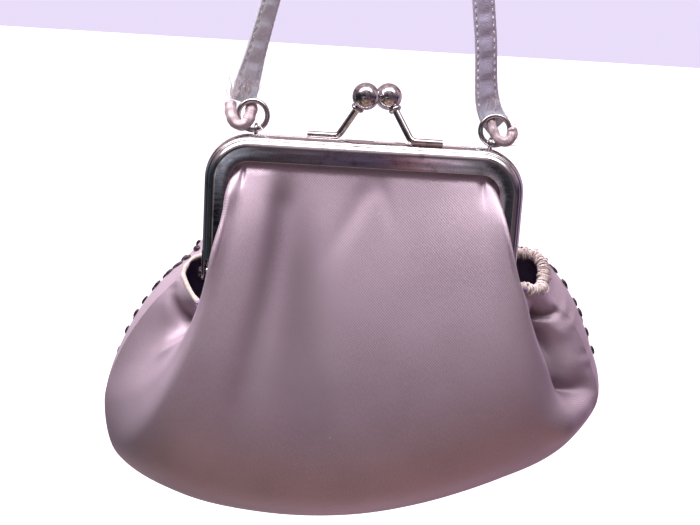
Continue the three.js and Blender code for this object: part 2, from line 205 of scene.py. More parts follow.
# An input is linked where a socket is given, and is otherwise set to the value
def setInputs(tree, node, inputs):
    for key, value in inputs.items():
        if isinstance(value, bpy.types.NodeSocket):
            tree.links.new(value, node.inputs[key])
        else:
            node.inputs[key].default_value = value


def addNode(tree, kind, inputs=None, **settings):
    node = tree.nodes.new("ShaderNode" + kind)
    for key, value in settings.items():
        setattr(node, key, value)
    setInputs(tree, node, inputs or {})
    return node


def objectPlace(tree):
    return addNode(tree, "TexCoord").outputs["Object"]


def mapped(tree, vector, scale, turn=0.0):
    inputs = {"Vector": vector, "Scale": scale, "Rotation": (0, 0, turn)}
    return addNode(tree, "Mapping", inputs).outputs["Vector"]


def noise(tree, vector, scale=1.0, detail=2.0):
    inputs = {"Vector": vector, "Scale": scale, "Detail": detail}
    return addNode(tree, "TexNoise", inputs).outputs["Fac"]


def combine(tree, operation, a, b, c=0.0):
    return addNode(tree, "Math", {0: a, 1: b, 2: c}, operation=operation).outputs[0]


def mixed(tree, factor, a, b, blend="MIX"):
    inputs = {"Factor": factor, "A": a, "B": b}
    return addNode(tree, "Mix", inputs, data_type="RGBA", blend_type=blend).outputs["Result"]


# Each stop has a place and a colour, or one number for a grey
def ramp(tree, factor, stops):
    node = addNode(tree, "ValToRGB", {"Fac": factor})
    elements = node.color_ramp.elements
    while len(elements) < len(stops):
        elements.new(0.5)
    for element, (position, colour) in zip(elements, stops):
        element.position = position
        element.color = (*np.broadcast_to(colour, 3).tolist(), 1)
    return node.outputs["Color"]


def bumped(tree, height, strength, distance=0.0001):
    inputs = {"Height": height, "Strength": strength, "Distance": distance}
    return addNode(tree, "Bump", inputs).outputs["Normal"]


# Tones and finish of each cloth; its lustre is the share of the light that the floating threads mirror
cloths = {
    "mauve_satin": {
        # the satin's third tone is painted shade, laid along its folds and dents
        "light": (0.58, 0.455, 0.54), "deep": (0.395, 0.298, 0.36), "paintedLightAndWearTone": (0.17, 0.115, 0.15),
        "roughness": 0.43, "sheen": 0.12, "lustre": 0.45, "dust": 0.5,
    },
    "purple_lining": {
        "light": (0.36, 0.28, 0.46), "deep": (0.24, 0.18, 0.32),
        "roughness": 0.5, "sheen": 0.1, "lustre": 0.45,
    },
    "pale_hem": {
        "light": (0.80, 0.66, 0.62), "deep": (0.62, 0.48, 0.47),
        "roughness": 0.45, "sheen": 0.4, "lustre": 0.45,
    },
    "strap_satin": {
        # the strap's third tone is painted light on the front of its left leg, and paler wear near the
        # rings
        "light": (0.64, 0.60, 0.78), "deep": (0.42, 0.38, 0.51), "paintedLightAndWearTone": (0.86, 0.92, 1.0),
        "roughness": 0.42, "sheen": 0.4, "lustre": 0.1,
    },
    "rolled_strap_end": {
        "light": (0.54, 0.43, 0.45), "deep": (0.38, 0.29, 0.32),
        "roughness": 0.5, "sheen": 0.15, "lustre": 0.2,
    },
}
weaveLook = {
    "twillPitch": 0.62,          # millimetres between the diagonal lines
    "wavePeriod": 0.628,         # of Blender's bands at a scale of 1
    "waver": 0.6,
    "threadScale": (2.4, 0.9, 1),
    "threadLean": 0.6,
    "cloudScale": 38,
    "shares": (0.3, 0.45, 0.5),  # of lines, threads and clouds in the colour
    "tonesAt": (0.38, 0.78),
    "streaks": [(0.36, 0.75), (0.6, 1)],
    "glossAt": (0.3, 0.75),
    "glossSpread": (-0.06, 0.08),
    "sheenTint": (0.86, 0.78, 0.86, 1),
    "sheenRoughness": 0.35,
    "specular": 0.6,
    "lineHeight": 0.5,
    "bump": 0.4,
    "speckScale": 95,
    "speckEdge": [(0.018, 1), (0.05, 0)],
    "speckTone": (0.75, 0.68, 0.70, 1),
}


# Where a mesh's own shade value is 1 the cloth has its third tone: painted shade along the satin's folds
# and dents, and on the strap painted light with paler wear near the rings
def satinMaterial(name):
    cloth, look = cloths[name], weaveLook
    material, tree, shader = newMaterial(name)
    weave = addNode(tree, "UVMap", uv_map="weave").outputs["UV"]
    place = objectPlace(tree)
    # diagonal lines of the twill, then threads that vary a little along their run
    lines = addNode(tree, "TexWave", {
        "Vector": weave, "Scale": look["wavePeriod"] / (look["twillPitch"] * math.sqrt(2)),
        "Distortion": look["waver"], "Detail": 1.0, "Detail Scale": 0.5,
    }, wave_type="BANDS", bands_direction="DIAGONAL").outputs["Fac"]
    threads = noise(tree, mapped(tree, weave, look["threadScale"], look["threadLean"]))
    clouds = noise(tree, place, look["cloudScale"], 3)
    blend = 0.0
    for layer, share in zip((lines, threads, clouds), look["shares"]):
        blend = combine(tree, "MULTIPLY_ADD", layer, share, blend)
    colour = ramp(tree, blend, [*zip(look["tonesAt"], (cloth["deep"], cloth["light"]))])
    # painted shade on the satin, painted light and wear on the strap, by the mesh's shade value
    if "paintedLightAndWearTone" in cloth:
        shade = addNode(tree, "Attribute", attribute_name="shade").outputs["Fac"]
        shade = combine(tree, "MULTIPLY", shade, ramp(tree, threads, look["streaks"]))
        colour = mixed(tree, shade, colour, (*cloth["paintedLightAndWearTone"], 1))
    if "dust" in cloth:
        specks = addNode(tree, "TexVoronoi", {"Vector": place, "Scale": look["speckScale"]}, feature="F1")
        dots = ramp(tree, specks.outputs["Distance"], look["speckEdge"])
        colour = mixed(tree, combine(tree, "MULTIPLY", dots, cloth["dust"]), colour, look["speckTone"])
    gloss = [cloth["roughness"] + change for change in look["glossSpread"]]
    height = combine(tree, "MULTIPLY_ADD", lines, look["lineHeight"], threads)
    setInputs(tree, shader, {
        "Base Color": colour,
        "Roughness": ramp(tree, threads, [*zip(look["glossAt"], gloss)]),
        "Metallic": cloth["lustre"],
        "Specular IOR Level": look["specular"],
        "Sheen Weight": cloth["sheen"],
        "Sheen Roughness": look["sheenRoughness"],
        "Sheen Tint": look["sheenTint"],
        "Normal": bumped(tree, height, look["bump"]),
    })
    return material


platings = {
    "plated_chrome": {"clean": (0.60, 0.56, 0.57), "worn": (0.40, 0.35, 0.34)},
    # painted shade: the hinge rivets' plating is darkened for the shade of the slits they sit in
    "shade_darkened_plating": {"clean": (0.16, 0.14, 0.15), "worn": (0.08, 0.07, 0.07)},
}
platingLook = {
    "stainScale": 240,
    "stainsAt": (0.30, 0.44),
    "scratchScale": (120, 900, 900),
    "roughness": [(0.35, 0.05), (0.75, 0.14)],
    "bump": (0.03, 0.00005),     # strength and depth
}


def chromeMaterial(name):
    plating, look = platings[name], platingLook
    material, tree, shader = newMaterial(name)
    place = objectPlace(tree)
    stains = noise(tree, place, look["stainScale"], 5)
    scratches = noise(tree, mapped(tree, place, look["scratchScale"]), 1, 3)
    setInputs(tree, shader, {
        "Base Color": ramp(tree, stains, [*zip(look["stainsAt"], (plating["worn"], plating["clean"]))]),
        "Roughness": ramp(tree, scratches, look["roughness"]),
        "Metallic": 1,
        "Normal": bumped(tree, scratches, *look["bump"]),
    })
    return material


threadTones = {
    "sewing_thread": {"light": (0.88, 0.77, 0.74), "deep": (0.6, 0.48, 0.48)},
    "strap_thread": {"light": (0.92, 0.84, 0.86), "deep": (0.66, 0.56, 0.58)},
    "pale_hem_cloth": {"light": (0.55, 0.46, 0.41), "deep": (0.34, 0.27, 0.25)},
}
threadLook = {"fibreScale": 2600, "tonesAt": (0.35, 0.62), "bump": 0.3, "roughness": 0.6, "sheen": 0.3}


def threadMaterial(name):
    tones, look = threadTones[name], threadLook
    material, tree, shader = newMaterial(name)
    fibres = noise(tree, objectPlace(tree), look["fibreScale"])
    setInputs(tree, shader, {
        "Base Color": ramp(tree, fibres, [*zip(look["tonesAt"], (tones["deep"], tones["light"]))]),
        "Roughness": look["roughness"],
        "Sheen Weight": look["sheen"],
        "Normal": bumped(tree, fibres, look["bump"]),
    })
    return material


beadLook = {
    "tones": [(0.35, (0.012, 0.009, 0.011)), (0.7, (0.05, 0.036, 0.042))],
    "scale": 180,
    "roughness": 0.12,
    "coat": 0.6,
}


def beadMaterial(name):
    material, tree, shader = newMaterial(name)
    shades = noise(tree, objectPlace(tree), beadLook["scale"])
    setInputs(tree, shader, {
        "Base Color": ramp(tree, shades, beadLook["tones"]),
        "Roughness": beadLook["roughness"],
        "Coat Weight": beadLook["coat"],
    })
    return material


satin, lining, hem, strapSatin, rollSatin = (satinMaterial(name) for name in cloths)
chrome, rivetSteel = (chromeMaterial(name) for name in platings)
thread, strapThread, hemCloth = (threadMaterial(name) for name in threadTones)
darkBead = beadMaterial("dark_bead")
print("materials mixed")


# Smooth value of a named column between a table's rows, the first column being the place
def columnAt(table, name, at):
    columns, rows = table
    values = np.array(rows, float)
    place, value = values[:, 0], values[:, columns.index(name)]
    index = np.arange(len(place))
    low, high = np.maximum(index - 1, 0), np.minimum(index + 1, len(place) - 1)
    slope = (value[high] - value[low]) / (place[high] - place[low])
    at = np.asarray(at, float)
    i = np.clip(np.searchsorted(place, at) - 1, 0, len(place) - 2)
    span = place[i + 1] - place[i]
    t = (at - place[i]) / span
    rise = t * t * (3 - 2 * t)
    bend = span * t * (1 - t) * (slope[i] * (1 - t) - slope[i + 1] * t)
    return value[i] * (1 - rise) + value[i + 1] * rise + bend


def smoothStep(value, low, high):
    t = np.clip((value - low) / (high - low), 0, 1)
    return t * t * (3 - 2 * t)


def bell(value, middle, spread):
    return np.exp(-(((value - middle) / spread) ** 2))


# Frame of the purse
rim = {"halfWidth": 50, "cornerRadius": 14, "legEnd": -40, "tuck": 5, "exit": 9}
tuckRadius = rim["cornerRadius"] - rim["tuck"]
legLength = -rim["cornerRadius"] - rim["legEnd"]
bendLength = tuckRadius * math.pi / 2
rimLength = 2 * (legLength + bendLength + rim["halfWidth"] - rim["cornerRadius"])


# Place on the U of the frame, inward from its outline
# u is a share of the way from the left hinge to the right
def rimPoint(u, inward):
    along = np.minimum(u, 1 - u) * rimLength
    end = np.where(u < 0.5, left, right)
    angle = np.clip((along - legLength) / tuckRadius, 0, math.pi / 2)
    reach = rim["cornerRadius"] - inward
    overTop = np.maximum(along - legLength - bendLength, 0)
    x = end * (rim["halfWidth"] - rim["cornerRadius"] + reach * np.cos(angle) - overTop)
    z = rim["legEnd"] + np.minimum(along, legLength) + reach * np.sin(angle)
    return x, z


# Satin panels
panel = {
    "columns": 320,
    "rows": 110,
    "crowding": 1.2,         # rows are closer by the frame
    "thickness": 1.2,
    "channelDepth": 3.4,
    "seamDepth": 0.15,
    "middleReach": 20,
    "seamGrip": 6,
    "frameGrip": 0.03,
    "paintedShadeFullDepth": 4,           # a fold so deep has the whole of the painted shade
    # most painted shade that a fold or dent can have
    "foldShade": 0.75,
    "dentShade": 0.3,        # share of a dent's depth that counts as a fold's in the painted shade
    "smoothAngle": 60,
}
seamLine = (("u", "x", "z"), [
    (0, -56.5, -46), (0.085, -67, -58), (0.169, -76.5, -74.5), (0.215, -80.5, -90), (0.262, -76, -108),
    (0.34, -54, -121), (0.42, -27, -126), (0.5, 0, -125.5), (0.58, 25, -120), (0.66, 50, -110),
    (0.738, 70, -98), (0.785, 80.5, -82), (0.831, 78, -70), (0.915, 70.5, -55), (1, 60, -43.5),
])
fibreColumns = ("u", "out", "chest", "drop", "inset", "belly", "lift")
frontFibres = (fibreColumns, [
    (0, 4, 14, 18, 6, 12, -9), (0.085, 4, 20, 18, 21, 8, -6), (0.169, 3, 23, 21, 27, 12, -3),
    (0.215, 2, 20, 28, 26, 22, 4), (0.262, 1, 16, 36, 16, 33, 14), (0.34, 0, 13, 40, 5, 37, 17),
    (0.5, 0, 11, 42, 0, 38, 18), (0.66, 0, 13, 40, 5, 37, 17), (0.738, 2, 16, 36, 14, 33, 14),
    (0.785, 6, 21, 28, 24, 22, 4), (0.831, 7, 26, 20, 22, 12, -3), (0.915, 9, 20, 10, 14, 8, -4),
    (1, 8, 16, 1, 2, 14, 0),
])
backFibres = (fibreColumns, [
    (0, 4, 10, 2, 0, 10, 8), (0.085, 1, 14, 9, -3, 16, 9), (0.169, 0, 20, 18, -2, 20, 12),
    (0.215, 0, 20, 28, -2, 24, 14), (0.262, 0, 16, 34, 0, 30, 16), (0.34, 0, 13, 40, 5, 37, 17),
    (0.5, 0, 11, 42, 0, 38, 18), (0.66, 0, 13, 40, 5, 37, 17), (0.738, 0, 16, 34, 0, 30, 16),
    (0.785, 0, 20, 28, -8, 24, 14), (0.831, 0, 20, 16, -6, 20, 16), (0.915, 2, 14, 4, -6, 16, 15),
    (1, 3, 12, -5, -6, 12, 16),
])
# u, drift, spread, depth, and the shares of the fibre between which a fold is deepest and gone
frontFolds = [
    (0.243, 0, 0.009, 0.9, 0.02, 0.08), (0.334, 0.05, 0.024, 2.5, 0.1, 0.85),
    (0.357, 0.16, 0.04, 2.4, 0.28, 0.8), (0.52, -0.4, 0.024, 0.6, 0.06, 0.26),
    (0.532, 0.2, 0.014, 0.5, 0.05, 0.16), (0.742, 0, 0.011, 0.8, 0.02, 0.1),
]
backFolds = [
    (0.25, 0, 0.016, 1.2, 0.05, 0.4), (0.47, 0.02, 0.03, 1.6, 0.06, 0.7), (0.745, 0, 0.016, 1.2, 0.05, 0.4),
]
frontDents = [  # u, along, spreads, depth
    (0.1, 0.7, 0.06, 0.2, 4.8), (0.9, 0.72, 0.06, 0.17, 6), (0.2, 0.075, 0.03, 0.06, -1.7),
    (0.285, 0.14, 0.04, 0.12, -0.7), (0.165, 0.27, 0.06, 0.13, -1.2), (0.7, 0.13, 0.04, 0.1, -0.4),
    (0.8, 0.12, 0.05, 0.1, -0.8), (0.5, 0.2, 0.24, 0.16, -0.8),
]
# Creases sink by depth along a line between two places (u, share), in cloth about so wide and so long
sideCloth = (250, 60)
frontCreases = [  # from, to, spread, depth
    ((0.028, 0.98), (0.117, 0.66), 2.6, 2.9), ((0.042, 0.96), (0.16, 0.75), 4, -1.5),
    ((0.925, 0.64), (0.95, 0.92), 2.4, 3.0), ((0.905, 0.72), (0.91, 0.92), 5, -1.4),
    ((0.89, 0.73), (0.8, 0.8), 5, 4.4), ((0.798, 0.82), (0.808, 0.93), 3.5, 4.6),
    ((0.76, 0.87), (0.772, 0.93), 5.5, -7), ((0.89, 0.84), (0.85, 0.9), 7, -2.2),
]
puckers = {
    "pitch": 6.5,
    "depth": 0.2,
    "reach": 0.035,
    "sewnDown": 0.012,       # share of the fibre that the seam holds flat
    "from": 0.45,            # none by the left slit
    "ripple": (0.6, 1.37, 1.1),  # a second wave: its size, its turn each millimetre and its start
}


def foldDepth(folds, u, along):
    total = np.zeros_like(u)
    for start, drift, spread, depth, deepest, gone in folds:
        length = smoothStep(along, 0, deepest) * (1 - smoothStep(along, deepest, gone))
        total += depth * bell(u, start + drift * along, spread) * length
    return total


def dentDepth(dents, u, along):
    total = np.zeros_like(u)
    for atU, atAlong, spreadU, spreadAlong, depth in dents:
        total += depth * bell(u, atU, spreadU) * bell(along, atAlong, spreadAlong)
    return total * (1 - along ** panel["seamGrip"]) * smoothStep(along, 0, panel["frameGrip"])


def creaseDepth(creases, u, along):
    total = np.zeros_like(u)
    wide, long = sideCloth
    for (u1, s1), (u2, s2), spread, depth in creases:
        runU, runS = (u2 - u1) * wide, (s2 - s1) * long
        awayU, awayS = (u - u1) * wide, (along - s1) * long
        t = np.clip((awayU * runU + awayS * runS) / (runU ** 2 + runS ** 2), 0, 1)
        total += depth * bell(np.hypot(awayU - t * runU, awayS - t * runS), 0, spread)
    return total * (1 - along ** panel["seamGrip"])


def gridNormals(points, side):
    return unit(np.cross(np.gradient(points, axis=0), np.gradient(points, axis=1)) * side)


# Points of a panel's outer face, from the channel of the frame to the seam
def panelPoints(side, fibres, folds, dents, creases):
    u = np.linspace(0, 1, panel["columns"] + 1)[:, None]
    share = (np.linspace(0, 1, panel["rows"] - 1) ** panel["crowding"])[None, :]
    at = {name: columnAt(fibres, name, u) for name in fibreColumns[1:]}
    seamX, seamZ = columnAt(seamLine, "x", u), columnAt(seamLine, "z", u)
    exitX, exitZ = rimPoint(u, rim["exit"])
    inwards = -np.sign(seamX) * np.minimum(np.abs(seamX) / panel["middleReach"], 1)
    depth = side * panel["channelDepth"] * np.ones_like(u)
    seamY = side * panel["seamDepth"] * np.ones_like(u)
    start = np.stack([exitX, depth, exitZ], 2)
    end = np.stack([seamX, seamY, seamZ], 2)
    leaving = start + np.stack([-inwards * at["out"], side * at["chest"], -at["drop"]], 2)
    arriving = end + np.stack([inwards * at["inset"], side * at["belly"], at["lift"]], 2)
    t = share[..., None]
    rest = 1 - t
    curve = start * rest ** 3 + leaving * 3 * t * rest ** 2 + arriving * 3 * t * t * rest + end * t ** 3
    tucked = []
    for inward in (rim["tuck"], (rim["tuck"] + rim["exit"]) / 2):
        x, z = rimPoint(u, inward)
        tucked.append(np.stack([x, depth, z], 2))
    points = np.concatenate([*tucked, curve], axis=1)
    along = np.concatenate([[0, 0], share[0]])[None, :] * np.ones_like(u)
    across = u * np.ones_like(along)
    normals = gridNormals(points, side)
    normals[:, :2] = (0, side, 0)
    folded = foldDepth(folds, across, along) + creaseDepth(creases, across, along)
    dented = dentDepth(dents, across, along)
    points = points - normals * (folded + dented)[..., None]
    # puckers where the seam draws the cloth in
    seamRun = runAlong(points[:, -1])
    ripple, turn, begin = puckers["ripple"]
    wave = np.sin(seamRun * 2 * math.pi / puckers["pitch"]) + ripple * np.sin(seamRun * turn + begin)
    hold = np.exp(-((1 - along) / puckers["reach"])) * np.minimum((1 - along) / puckers["sewnDown"], 1)
    grow = puckers["depth"] * smoothStep(u, puckers["from"], 1)
    points = points + normals * (grow * wave[:, None] * hold)[..., None]
    points[..., 1] = side * np.maximum(side * points[..., 1], panel["seamDepth"])
    # painted shade: darker where folds and dents sink the cloth in
    hollow = folded + panel["dentShade"] * np.maximum(dented, 0)
    return points, np.clip(hollow / panel["paintedShadeFullDepth"], 0, panel["foldShade"])


# A grid laid over points, with the cloth's own lengths as a second UV map
def clothGrid(name, points, shade=None):
    startFresh()
    columns, rows = points.shape[0] - 1, points.shape[1] - 1
    bpy.ops.mesh.primitive_grid_add(x_subdivisions=columns, y_subdivisions=rows, size=1)
    piece = bpy.context.object
    mesh = piece.data
    flat = np.empty(len(mesh.vertices) * 3)
    mesh.vertices.foreach_get("co", flat)
    flat = flat.reshape(-1, 3)
    i = np.rint((flat[:, 0] + 0.5) * columns).astype(int)
    j = np.rint((flat[:, 1] + 0.5) * rows).astype(int)
    mesh.vertices.foreach_set("co", toWorld(points)[i, j].ravel())
    rowRun, fibreRun = runAlong(points, 0), runAlong(points, 1)
    rowRun = rowRun - rowRun[columns // 2]
    corners = np.empty(len(mesh.loops), int)
    mesh.loops.foreach_get("vertex_index", corners)
    weave = mesh.uv_layers.new(name="weave")
    lengths = np.stack([rowRun[i, j], -fibreRun[i, j]], 1)[corners]
    weave.data.foreach_set("uv", lengths.ravel())
    # painted shade of the panels, and painted light with wear on the strap, for the material
    if shade is not None:
        mesh.attributes.new("shade", "FLOAT", "POINT").data.foreach_set("value", shade[i, j])
    piece.name = name
    mesh.update()
    return piece


def turnOutwards(piece, outward):
    total = sum((face.normal * face.area for face in piece.data.polygons), Vector())
    if total.dot(outward) < 0:
        editAll(piece)
        bpy.ops.mesh.flip_normals()
        bpy.ops.object.mode_set(mode="OBJECT")


def addPanel(name, node, side, *tables):
    points, shade = panelPoints(side, *tables)
    piece = clothGrid(name, points, shade)
    turnOutwards(piece, Vector((0, side, 0)))
    area = sum(face.area for face in piece.data.polygons)
    for cloth in (satin, lining, hem):
        piece.data.materials.append(cloth)
    applyModifier(piece, "SOLIDIFY", thickness=panel["thickness"] * mm, offset=-1,
                  material_offset=1, material_offset_rim=2)
    smoothByAngle(piece, panel["smoothAngle"])
    finishPiece(piece, name, "satin")
    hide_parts(node)
    print(name, "flat area", round(area, 5))
    return piece, points


frontTables = (frontFibres, frontFolds, frontDents, frontCreases)
backTables = (backFibres, backFolds, [], [])
frontPanel, frontPoints = addPanel("satin_front", "panel_front", front, *frontTables)
backPanel, backPoints = addPanel("satin_back", "panel_back", back, *backTables)
print("satin panels hung")


# Plated frame: two bent channels with hinge ears, ring eyes and clasp arms
hardware = {
    # inward from the frame's outline and out from the parting plane, round the channel
    "section": [
        (8, 0.25), (0.8, 0.25), (0, 0.9), (0, 1.6), (0.2, 2.5), (0.6, 3.2), (0.95, 3.65), (1.35, 3.72),
        (1.55, 4.1), (2.2, 4.68), (2.9, 5.1), (3.7, 5.3), (8, 5.2), (8, 4.3), (3.2, 4.2), (1.9, 3.2),
        (1.1, 2.4), (1.1, 1.3), (8, 1.2),
    ],
    "cornerSteps": 16,
    "softEdge": 0.18,
    "hingeZ": -45,
    "earRadius": 3,
    "earThickness": 1,
    "earLap": 1.4,           # how far the back half's ear stands inside the front half's
    "earRoot": 0.5,          # how far its root stays inside the leg's outline
    "tongue": (1, 3),        # its depths
    "tongueTop": 3,          # above the leg's end
    "ballX": 2.3,            # middle of the clasp
    "ballSpacing": 3.6,
    "ballDepth": 2.75,
    "ballZ": 13.9,
    "ballRadius": 4.2,
    "ballSeat": (0.95, 0.12, 0.04),  # its place, lip and neck, as shares of the ball's radius
    "armRadius": 1.1,
    "armDepth": 2.4,
    "armFootZ": 0.8,
    "armFoot": 17.5,         # from the ball's middle to the end of the foot
    "armBend": 7.8,
    "armBendReach": 1.6,
    "collar": (1.45, 0.65),
    "collarOut": 4.6,        # from the ball's middle
    "ringX": {left: -36.1, right: 40},
    "ringDepth": 2.6,
    "ringRadius": 4.6,
    "ringWire": 0.8,
    "ringSegments": (72, 16),
    "ringJoint": -52,        # degrees from the ring's level
    "eye": (1.75, 0.5),
    "eyeLean": 1.2,
    "eyeRise": 1.25,
}


def extrudeBy(x, y, z):
    bpy.ops.mesh.extrude_region_move(TRANSFORM_OT_translate={"value": Vector((x, y, z)) * mm})


def bentChannel(side):
    startFresh()
    section = hardware["section"]
    bpy.ops.mesh.primitive_circle_add(vertices=len(section), fill_type="NGON")
    piece = bpy.context.object
    for vertex, (inward, depth) in zip(piece.data.vertices, section):
        vertex.co = world(inward - rim["halfWidth"], side * depth, rim["legEnd"])
    editAll(piece)
    bendX = rim["halfWidth"] - rim["cornerRadius"]
    quarter = {"steps": hardware["cornerSteps"], "angle": -math.pi / 2, "axis": (0, 1, 0)}
    extrudeBy(0, 0, legLength)
    bpy.ops.mesh.spin(center=world(-bendX, 0, -rim["cornerRadius"]), **quarter)
    extrudeBy(2 * bendX, 0, 0)
    bpy.ops.mesh.spin(center=world(bendX, 0, -rim["cornerRadius"]), **quarter)
    extrudeBy(0, 0, -legLength)
    closeMesh(piece, 0.01)
    return piece


def addBlock(x, y, z):
    startFresh()
    spans = [sorted(span) for span in (x, y, z)]
    middle = [(low + high) / 2 for low, high in spans]
    size = [(high - low) * mm for low, high in spans]
    bpy.ops.mesh.primitive_cube_add(size=1, location=world(*middle), scale=size)
    return settle(bpy.context.object)


def addEar(side, end):
    outer = rim["halfWidth"] - (hardware["earLap"] if side == back else 0)
    inner = outer - hardware["earThickness"]
    startFresh()
    bpy.ops.mesh.primitive_cylinder_add(
        vertices=32, radius=hardware["earRadius"] * mm, depth=hardware["earThickness"] * mm,
        location=world(end * (outer + inner) / 2, 0, hardware["hingeZ"]), rotation=(0, math.pi / 2, 0))
    disc = settle(bpy.context.object)
    depths = [side * depth for depth in hardware["tongue"]]
    top = rim["legEnd"] + hardware["tongueTop"]
    tongue = addBlock((end * inner, end * outer), depths, (hardware["hingeZ"], top))
    rootEnd = rim["halfWidth"] - hardware["earRoot"]
    root = addBlock((end * inner, end * rootEnd), depths, (rim["legEnd"], top))
    return [disc, tongue, root]


# A round rod or thread along points in millimetres, tapered by a radius for each point if given
def addTube(points, radius, resolution, taper=None):
    startFresh()
    bpy.ops.curve.primitive_nurbs_path_add()
    piece = bpy.context.object
    piece.data.splines.clear()
    spline = piece.data.splines.new("POLY")
    spline.points.add(len(points) - 1)
    for k, point in enumerate(toWorld(points)):
        spline.points[k].co = (*point, 1)
        spline.points[k].radius = 1 if taper is None else taper[k]
    piece.data.dimensions = "3D"
    piece.data.bevel_depth = radius * mm
    piece.data.bevel_resolution = resolution
    piece.data.use_fill_caps = True
    piece.location = (0, 0, 0)
    selectOnly(piece)
    bpy.ops.object.convert(target="MESH")
    return bpy.context.object


def addTorus(centre, rotation, radius, wire, segments):
    startFresh()
    bpy.ops.mesh.primitive_torus_add(
        location=world(*centre), rotation=rotation, major_segments=segments[0], minor_segments=segments[1],
        major_radius=radius * mm, minor_radius=wire * mm)
    return settle(bpy.context.object)


# The left ball stands in front on an arm from the back half, the right one the other way round
def ballPlace(end):
    x = hardware["ballX"] + end * hardware["ballSpacing"]
    return np.array((x, end * hardware["ballDepth"], hardware["ballZ"]))


def armLine(end):
    ball = ballPlace(end)
    line = (ball[0], -end * hardware["armDepth"], hardware["armFootZ"])
    foot = np.array(line) + (end * hardware["armFoot"], 0, 0)
    bend = np.array(line) + (end * hardware["armBend"], 0, 0)
    rise = unit(ball - bend)
    before = bend + np.array((end * hardware["armBendReach"], 0, 0))
    after = bend + rise * hardware["armBendReach"]
    t = np.linspace(0, 1, 9)[:, None]
    curve = before * (1 - t) ** 2 + bend * 2 * t * (1 - t) + after * t * t
    return np.vstack([foot, curve, ball - rise * hardware["collarOut"]]), rise


def addArm(end):
    points, rise = armLine(end)
    turn = Vector(rise).to_track_quat("Z", "Y").to_euler()
    rod = addTube(points, hardware["armRadius"], 5)
    return [rod, addTorus(points[-1], turn, *hardware["collar"], (32, 12))]


def eyePlace(end):
    x = hardware["ringX"][end] - end * hardware["eyeLean"]
    pastCorner = max(abs(x) - rim["halfWidth"] + rim["cornerRadius"], 0)
    outline = math.sqrt(rim["cornerRadius"] ** 2 - pastCorner ** 2) - rim["cornerRadius"]
    return np.array((x, hardware["ringDepth"], outline + hardware["eyeRise"]))


def ringPlace(end):
    lean = hardware["eyeLean"]
    return eyePlace(end) + (end * lean, 0, math.sqrt(hardware["ringRadius"] ** 2 - lean ** 2))


def addFrameHalf(side):
    pieces = [bentChannel(side)]
    for end in (left, right):
        pieces += addEar(side, end)
    for piece in pieces:
        applyModifier(piece, "BEVEL", width=hardware["softEdge"] * mm, segments=2,
                      limit_method="ANGLE", angle_limit=math.radians(25))
    if side == back:
        for end in (left, right):
            pieces.append(addTorus(eyePlace(end), (0, math.pi / 2, 0), *hardware["eye"], (28, 10)))
    pieces += addArm(-side)
    half = joinPieces(pieces)
    smoothByAngle(half, 35)
    applyModifier(half, "WEIGHTED_NORMAL", keep_sharp=True, weight=80)
    name = "frame_half_front" if side == front else "frame_half_back"
    finishPiece(half, name, "plated_metal", chrome)
    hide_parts("frame_front" if side == front else "frame_back")


def addBall(end):
    startFresh()
    rise = Vector(armLine(end)[1])
    radius = hardware["ballRadius"]
    seat, lip, neck = (share * radius for share in hardware["ballSeat"])
    bpy.ops.mesh.primitive_uv_sphere_add(segments=40, ring_count=24, radius=radius * mm)
    piece = bpy.context.object
    # a flat seat with a short neck where the arm's collar holds it
    editAll(piece)
    bpy.ops.mesh.bisect(plane_co=(0, 0, -seat * mm), plane_no=(0, 0, -1), clear_outer=True, use_fill=True)
    bpy.ops.mesh.inset(thickness=lip * mm)
    extrudeBy(0, 0, -neck)
    bpy.ops.object.mode_set(mode="OBJECT")
    piece.rotation_euler = rise.to_track_quat("Z", "Y").to_euler()
    piece.location = world(*ballPlace(end))
    smoothByAngle(piece, 40)
    name = endNames[end]
    finishPiece(piece, "ball_" + name, "plated_metal", chrome)
    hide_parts("clasp_ball_" + name)


def addRing(end):
    segments = hardware["ringSegments"]
    middle = ringPlace(end)
    piece = addTorus(middle, (math.pi / 2, 0, 0), hardware["ringRadius"], hardware["ringWire"], segments)
    # the butt joint of the bent wire, one step of the ring wide
    centre = world(*middle)
    joint = math.radians(hardware["ringJoint"])
    editAll(piece)
    bpy.ops.mesh.select_mode(type="FACE")
    bpy.ops.mesh.select_all(action="DESELECT")
    bpy.ops.object.mode_set(mode="OBJECT")
    for face in piece.data.polygons:
        away = face.center - centre
        face.select = abs(math.atan2(away.z, away.x) - joint) < math.pi / segments[0]
    bpy.ops.object.mode_set(mode="EDIT")
    bpy.ops.mesh.delete(type="FACE")
    bpy.ops.mesh.select_all(action="SELECT")
    bpy.ops.mesh.fill_holes(sides=0)
    bpy.ops.object.mode_set(mode="OBJECT")
    smoothByAngle(piece, 40)
    name = endNames[end]
    finishPiece(piece, "ring_" + name, "plated_metal", chrome)
    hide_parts("strap_ring_" + name)


for side in (front, back):
    addFrameHalf(side)
for end in (left, right):
    addBall(end)
    addRing(end)
# the hinge rivets take the darkened plating, painted shade
for name, node in frame["nodes"].items():
    if name.startswith("hinge_rivet"):
        node.data.materials.clear()
        node.data.materials.append(rivetSteel)
print("frame, clasp and rings built")


